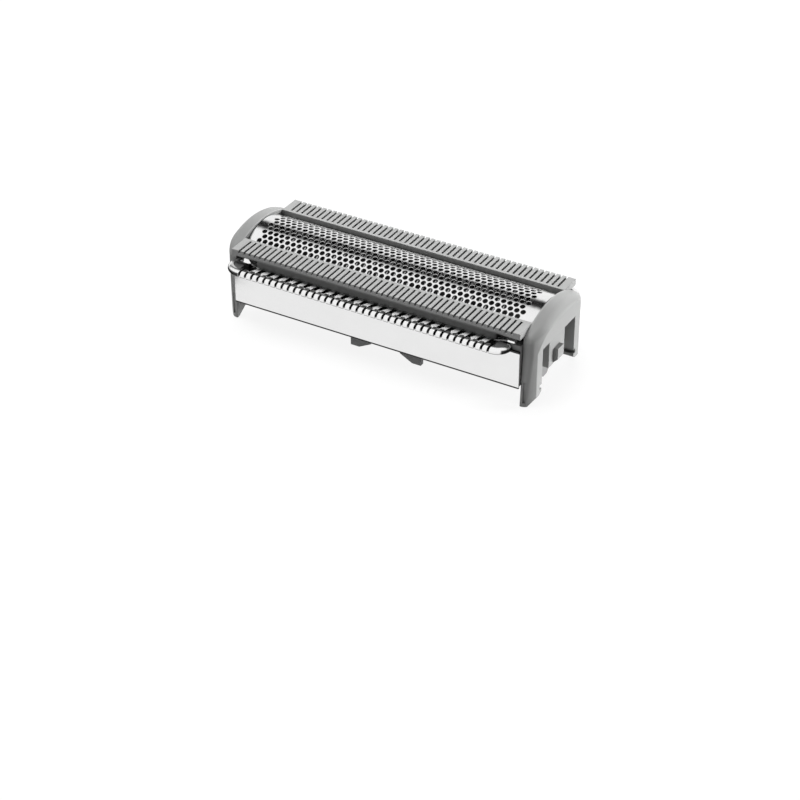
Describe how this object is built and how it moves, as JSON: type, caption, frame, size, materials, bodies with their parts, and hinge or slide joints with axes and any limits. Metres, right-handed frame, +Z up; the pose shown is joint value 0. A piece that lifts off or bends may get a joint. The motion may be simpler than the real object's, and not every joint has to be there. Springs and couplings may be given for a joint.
{
  "type": "shaver head",
  "caption": "Body shaver head: arched foil between ribbed bars, folded comb trimmers along both sides, and a sprung cutter block with a drive socket underneath.",
  "frame": {"origin": "middle of the head in plan, on the plane of the four leg tips", "axes": "+X along the head toward its right end, -Y toward the side with the visible comb, +Z up through the crest of the foil"},
  "size_m": [0.0554, 0.0224, 0.0139],
  "materials": {
    "frame_plastic": "fine matt grey moulding",
    "foil_steel": "polished nickel-like foil",
    "holder_plastic": "dark matt moulding",
    "chassis_plastic": "dark grey matt moulding",
    "guard_steel": "satin sheet steel",
    "blade_steel": "ground steel",
    "slider_plastic": "dark grey moulding",
    "spring_steel": "bright spring strip",
    "bridge_plastic": "black moulding",
    "lamella_steel": "ground steel edges"
  },
  "bodies": {
    "base": {"head_frame": "frame_plastic", "foil": "foil_steel", "foil_holder": "holder_plastic", "chassis": "chassis_plastic", "front_guard": "guard_steel", "rear_guard": "guard_steel", "front_blade_spring": "spring_steel", "rear_blade_spring": "spring_steel"},
    "bridge": {"cutter_bridge": "bridge_plastic", "left_cutter_spring": "spring_steel", "right_cutter_spring": "spring_steel"},
    "cutter": {"cutter_beam": "bridge_plastic", "cutter_lamellae": "lamella_steel"},
    "front_trimmer": {"front_blade": "blade_steel", "front_slider": "slider_plastic"},
    "rear_trimmer": {"rear_blade": "blade_steel", "rear_slider": "slider_plastic"}
  },
  "joints": [
    {"name": "bridge_slide", "type": "slide", "parent": "base", "child": "bridge", "axis": [1, 0, 0], "range_m": [-0.001, 0.001]},
    {"name": "cutter_float", "type": "slide", "parent": "bridge", "child": "cutter", "axis": [0, 0, 1], "range_m": [-0.0006, 0], "stiffness_N_per_m": 400, "springref_m": 0.001, "deforming": ["left_cutter_spring", "right_cutter_spring"]},
    {"name": "front_trimmer_slide", "type": "slide", "parent": "base", "child": "front_trimmer", "axis": [1, 0, 0], "range_m": [-0.001, 0.001]},
    {"name": "rear_trimmer_slide", "type": "slide", "parent": "base", "child": "rear_trimmer", "axis": [1, 0, 0], "range_m": [-0.001, 0.001]}
  ],
  "couplings": [
    {"joint": "front_trimmer_slide", "follows": "bridge_slide", "ratio": 1},
    {"joint": "rear_trimmer_slide", "follows": "bridge_slide", "ratio": 1}
  ]
}
